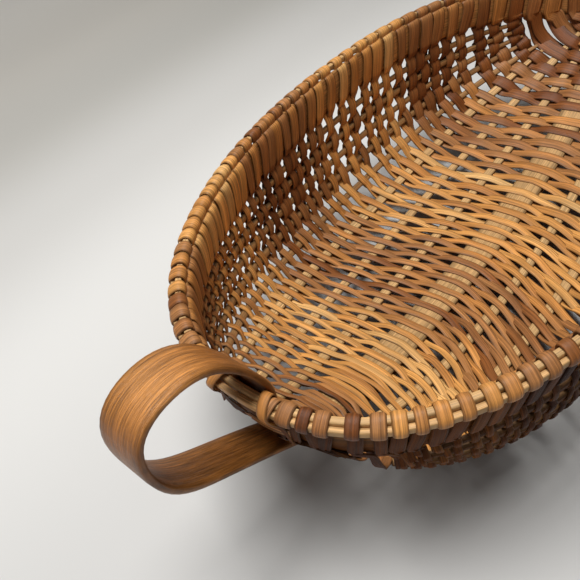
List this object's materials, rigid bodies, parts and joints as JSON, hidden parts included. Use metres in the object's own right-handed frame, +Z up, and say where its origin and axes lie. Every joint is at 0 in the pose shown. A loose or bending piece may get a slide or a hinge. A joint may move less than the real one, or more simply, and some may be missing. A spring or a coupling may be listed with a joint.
{
  "type": "winnowing basket",
  "caption": "Oval deep ribbed winnowing basket of split cane woven over wooden ribs, with a wrapped rim and a looped strap handle at each end.",
  "frame": {"origin": "middle of the basket's length and width, on the surface it stands on", "axes": "+X along the basket towards the right handle, +Y across towards the far side, +Z up out of the bowl"},
  "size_m": [0.6138, 0.274, 0.1642],
  "materials": {
    "rim_wood": "shaved rod, satin, worn pale",
    "band_wood": "split flat hoop, fine grain, dry",
    "rib_wood": "split ribs, dry satin",
    "cane": "split cane weavers, satin, mixed golden and grey brown",
    "handle_cane": "polished by hands, reddish brown, lengthwise fibre",
    "lashing_cane": "split cane lashing, satin"
  },
  "bodies": {
    "root": {"rim_rod_outer": "rim_wood", "rim_rod_inner": "rim_wood", "rim_band": "band_wood", "centre_rib": "rib_wood", "rib_near_1": "rib_wood", "rib_far_1": "rib_wood", "rib_near_2": "rib_wood", "rib_far_2": "rib_wood", "rib_near_3": "rib_wood", "rib_far_3": "rib_wood", "rib_near_4": "rib_wood", "rib_far_4": "rib_wood", "rib_near_5": "rib_wood", "rib_far_5": "rib_wood", "rib_near_6": "rib_wood", "rib_far_6": "rib_wood", "rib_near_7": "rib_wood", "rib_far_7": "rib_wood", "rib_near_8": "rib_wood", "rib_far_8": "rib_wood", "weaver_01": "cane", "weaver_02": "cane", "weaver_03": "cane", "weaver_04": "cane", "weaver_05": "cane", "weaver_06": "cane", "weaver_07": "cane", "weaver_08": "cane", "weaver_09": "cane", "weaver_10": "cane", "weaver_11": "cane", "weaver_12": "cane", "weaver_13": "cane", "weaver_14": "cane", "weaver_15": "cane", "weaver_16": "cane", "handle_left": "handle_cane", "handle_right": "handle_cane", "lashing_left_near": "lashing_cane", "lashing_left_far": "lashing_cane", "lashing_right_near": "lashing_cane", "lashing_right_far": "lashing_cane"}
  },
  "joints": []
}
